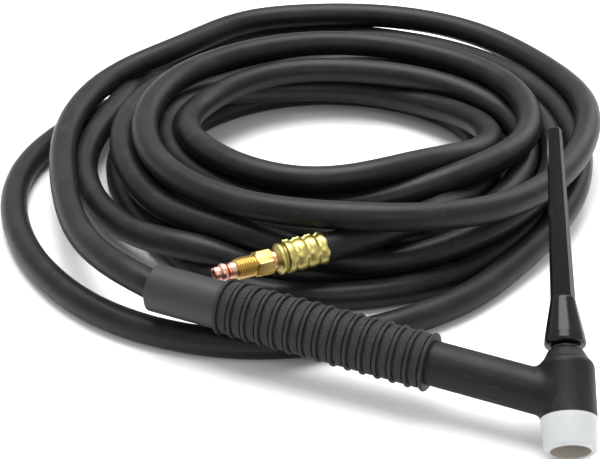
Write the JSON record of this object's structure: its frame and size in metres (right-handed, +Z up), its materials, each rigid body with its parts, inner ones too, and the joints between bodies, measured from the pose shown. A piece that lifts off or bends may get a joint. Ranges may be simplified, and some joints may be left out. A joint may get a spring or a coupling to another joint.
{
  "type": "tig torch",
  "caption": "Air-cooled TIG torch with ribbed handle, long back cap and white front insulator, lying on its coiled rubber power cable with a brass connector.",
  "frame": {"origin": "on the floor, under the middle of the torch's own box, the cable and its connector left out", "axes": "+Z up; +X along the handle in plan, from its rear end to the head; +Y from the torch towards the coil"},
  "size_m": [0.4006, 0.3844, 0.1057],
  "materials": {
    "moulded_rubber": "satin moulded black rubber",
    "brass": "machined brass",
    "copper": "polished copper",
    "insulator_white": "satin white fluoropolymer",
    "phenolic": "glossy dark phenolic moulding",
    "seal_rubber": "glossy black seal rubber",
    "handle_plastic": "fine matt black plastic",
    "grip_rubber": "pebbled matt black rubber",
    "cable_rubber": "matt charcoal cable rubber",
    "ferrule_brass": "bright pressed brass"
  },
  "bodies": {
    "root": {"head_body": "moulded_rubber", "head_core": "brass", "power_tube": "copper", "tube_adapter": "brass", "handle_tube": "handle_plastic", "ribbed_grip": "grip_rubber", "union_nut": "brass", "union_nipple": "copper", "union_ferrule": "ferrule_brass", "hose_torch_end": "cable_rubber", "conductor_torch_end": "copper", "cable_lead_in": "cable_rubber", "cable_outer_loop": "cable_rubber", "cable_coil": "cable_rubber", "cable_tail": "cable_rubber", "hose_plug_end": "cable_rubber", "plug_ferrule": "ferrule_brass", "plug_nipple": "copper", "conductor_plug_end": "copper"},
    "insulator": {"front_insulator": "insulator_white"},
    "cap_seal": {"cap_o_ring": "seal_rubber"},
    "cap": {"back_cap": "phenolic", "cap_insert": "brass"},
    "connector_nut": {"plug_nut": "brass"}
  },
  "joints": [
    {"name": "cap_travel", "type": "slide", "parent": "root", "child": "cap_seal", "axis": [-0.3245, 0.7602, 0.5628], "range_m": [0, 0.00952]},
    {"name": "cap_screw", "type": "hinge", "parent": "cap_seal", "child": "cap", "pos_m": [0.08956, -0.02123, 0.03824], "axis": [-0.3245, 0.7602, 0.5628], "range_deg": [0, 3241]},
    {"name": "insulator_pull", "type": "slide", "parent": "root", "child": "insulator", "axis": [0.3245, -0.7602, -0.5628], "range_m": [0, 0.0065]},
    {"name": "connector_nut_turn", "type": "hinge", "parent": "root", "child": "connector_nut", "pos_m": [-0.07926, -0.00506, 0.033], "axis": [-0.6561, -0.7547, 0], "continuous": true}
  ],
  "couplings": [
    {"joint": "cap_screw", "follows": "cap_travel", "rad_per_m": 5937.1}
  ]
}
